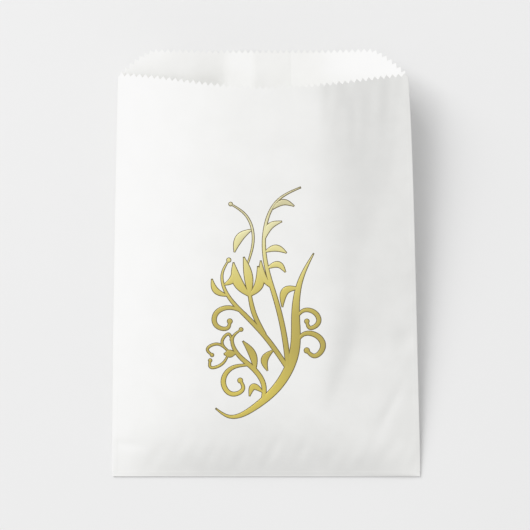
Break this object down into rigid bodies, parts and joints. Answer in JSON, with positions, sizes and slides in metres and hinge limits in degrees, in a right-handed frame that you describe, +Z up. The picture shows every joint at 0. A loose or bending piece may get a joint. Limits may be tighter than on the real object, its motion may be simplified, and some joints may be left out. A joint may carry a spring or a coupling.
{
  "type": "flat paper gift bag",
  "caption": "Flat white paper gift bag lying on its back, mouth part open, with a pinked lip, a glued back seam, a folded bottom and a gold vine print on the front.",
  "frame": {"origin": "middle of the bag's footprint, on the surface that it lies on", "axes": "+X across the bag to the right, +Y from the bottom fold to the mouth, +Z up, out of the front"},
  "size_m": [0.165, 0.2294, 0.0488],
  "materials": {
    "paper": "uncoated matt white paper",
    "glue": "dried paper glue",
    "gold_print": "gold ink with a soft sheen"
  },
  "bodies": {
    "back": {"back_left_leaf": "paper", "back_right_leaf": "paper", "back_seam_glue": "glue", "bottom_flap_outer_ply": "paper", "bottom_flap_inner_ply": "paper", "bottom_flap_glue": "glue", "bottom_fold": "paper", "back_bend_left": "paper", "back_bend_right": "paper"},
    "back_side_left": {"back_side_left": "paper", "side_fold_left": "paper"},
    "back_side_right": {"back_side_right": "paper", "side_fold_right": "paper"},
    "front": {"front_panel": "paper", "front_bend_left": "paper", "front_bend_right": "paper", "print_sweep": "gold_print", "print_tall_stem": "gold_print", "print_left_stems": "gold_print", "print_bell_flower": "gold_print", "print_right_curls": "gold_print", "print_lower_vine": "gold_print", "print_small_flower": "gold_print"},
    "front_side_left": {"front_side_left": "paper"},
    "front_side_right": {"front_side_right": "paper"}
  },
  "joints": [
    {"name": "mouth_open", "type": "hinge", "parent": "back", "child": "front", "pos_m": [0, -0.11429, 0.00042], "axis": [1, 0, 0], "range_deg": [-10, 4]},
    {"name": "back_left_bend", "type": "hinge", "parent": "back", "child": "back_side_left", "pos_m": [-0.0825, -0.11429, 0.00006], "axis": [0.2676, 0.9635, 0], "range_deg": [-20.2, 8.26]},
    {"name": "front_left_bend", "type": "hinge", "parent": "front", "child": "front_side_left", "pos_m": [-0.0825, -0.11437, 0.00076], "axis": [-0.2676, -0.9388, -0.2167], "range_deg": [-20.2, 8.26]},
    {"name": "back_right_bend", "type": "hinge", "parent": "back", "child": "back_side_right", "pos_m": [0.0825, -0.11429, 0.00006], "axis": [0.2255, -0.9742, 0], "range_deg": [-24.1, 9.82]},
    {"name": "front_right_bend", "type": "hinge", "parent": "front", "child": "front_side_right", "pos_m": [0.0825, -0.11437, 0.00076], "axis": [-0.2255, 0.9493, 0.2192], "range_deg": [-24.1, 9.82]}
  ],
  "couplings": [
    {"joint": "back_left_bend", "follows": "mouth_open", "ratio": 1.99},
    {"joint": "front_left_bend", "follows": "mouth_open", "ratio": 1.99},
    {"joint": "back_right_bend", "follows": "mouth_open", "ratio": 2.38},
    {"joint": "front_right_bend", "follows": "mouth_open", "ratio": 2.38}
  ]
}
